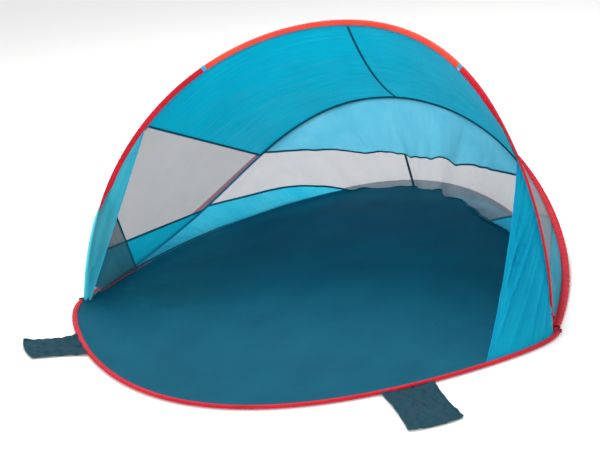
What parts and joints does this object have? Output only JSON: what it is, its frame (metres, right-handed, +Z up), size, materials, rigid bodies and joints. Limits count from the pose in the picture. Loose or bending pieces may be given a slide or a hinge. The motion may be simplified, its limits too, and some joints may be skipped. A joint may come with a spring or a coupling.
{
  "type": "pop up tent",
  "caption": "Open-fronted pop-up beach shelter on sprung wire hoops, with a rounded canopy, mesh windows, a ground sheet and sand flaps.",
  "frame": {"origin": "on the ground, midway between the two corners where the hoops meet", "axes": "+Z up, -Y out of the opening, +X to the right seen from the opening"},
  "size_m": [2.091, 2.6027, 1.0568],
  "materials": {
    "spring_wire": "oiled",
    "crimped_steel": "satin",
    "pin_cord": "braided",
    "orange_sleeve": "woven",
    "red_sleeve": "woven",
    "grey_mesh": "mesh",
    "ground_sheet": "coated",
    "flap_cloth": "coated",
    "corner_net": "sheer",
    "blue_canopy": "taffeta"
  },
  "bodies": {
    "ground_back": {"rear_floor": "ground_sheet", "back_ground_wire": "spring_wire", "back_ground_sleeve": "red_sleeve", "back_ground_eyes": "crimped_steel", "back_ferrule": "crimped_steel", "corner_pin_left": "pin_cord", "corner_pin_right": "pin_cord", "back_wall_top_left": "blue_canopy", "back_wall_top_right": "blue_canopy", "back_mesh_left": "grey_mesh", "back_mesh_right": "grey_mesh", "back_wall_low_left": "blue_canopy", "back_wall_low_right": "blue_canopy", "corner_panel_left": "corner_net", "corner_panel_right": "corner_net"},
    "back_arch": {"back_arch_wire": "spring_wire", "back_arch_sleeve": "red_sleeve", "back_arch_eyes": "crimped_steel"},
    "front_arch": {"front_arch_wire": "spring_wire", "front_sleeve_left": "red_sleeve", "front_sleeve_top": "orange_sleeve", "front_sleeve_right": "red_sleeve", "front_arch_eyes": "crimped_steel", "roof_left": "blue_canopy", "roof_right": "blue_canopy", "side_mesh_left": "grey_mesh", "side_mesh_right": "grey_mesh", "side_low_left": "blue_canopy", "side_low_right": "blue_canopy", "wing_left": "blue_canopy", "wing_right": "blue_canopy"},
    "ground_front": {"front_floor": "ground_sheet", "front_ground_wire": "spring_wire", "front_ground_sleeve": "red_sleeve", "front_ground_eyes": "crimped_steel", "front_ferrule": "crimped_steel"},
    "sand_flap_left": {"sand_flap_left": "flap_cloth"},
    "sand_flap_right": {"sand_flap_right": "flap_cloth"}
  },
  "joints": [
    {"name": "back_arch_fold", "type": "hinge", "parent": "ground_back", "child": "back_arch", "pos_m": [0, 0, 0.009], "axis": [-1, 0, 0], "range_deg": [0, 3], "deforming": ["back_wall_top_left", "back_wall_top_right", "back_mesh_left", "back_mesh_right", "back_wall_low_left", "back_wall_low_right"]},
    {"name": "front_arch_fold", "type": "hinge", "parent": "back_arch", "child": "front_arch", "pos_m": [0, 0, 0.009], "axis": [-1, 0, 0], "range_deg": [0, 32], "stiffness_Nm_per_rad": 2, "springref_deg": -85.94, "deforming": ["roof_left", "roof_right", "side_mesh_left", "side_mesh_right", "side_low_left", "side_low_right", "wing_left", "wing_right", "corner_panel_left", "corner_panel_right"]},
    {"name": "front_floor_fold", "type": "hinge", "parent": "front_arch", "child": "ground_front", "pos_m": [0, 0, 0.009], "axis": [-1, 0, 0], "range_deg": [0, 93]},
    {"name": "left_flap_turn", "type": "hinge", "parent": "ground_front", "child": "sand_flap_left", "pos_m": [-0.79381, -0.42802, 0.003], "axis": [-0.6598, 0.7514, 0], "range_deg": [0, 105]},
    {"name": "right_flap_turn", "type": "hinge", "parent": "ground_front", "child": "sand_flap_right", "pos_m": [0.59407, -0.55513, 0.003], "axis": [-0.779, -0.627, 0], "range_deg": [0, 105]}
  ],
  "couplings": [
    {"joint": "back_arch_fold", "follows": "front_arch_fold", "ratio": 0.09375},
    {"joint": "front_floor_fold", "follows": "front_arch_fold", "ratio": 2.9062}
  ]
}
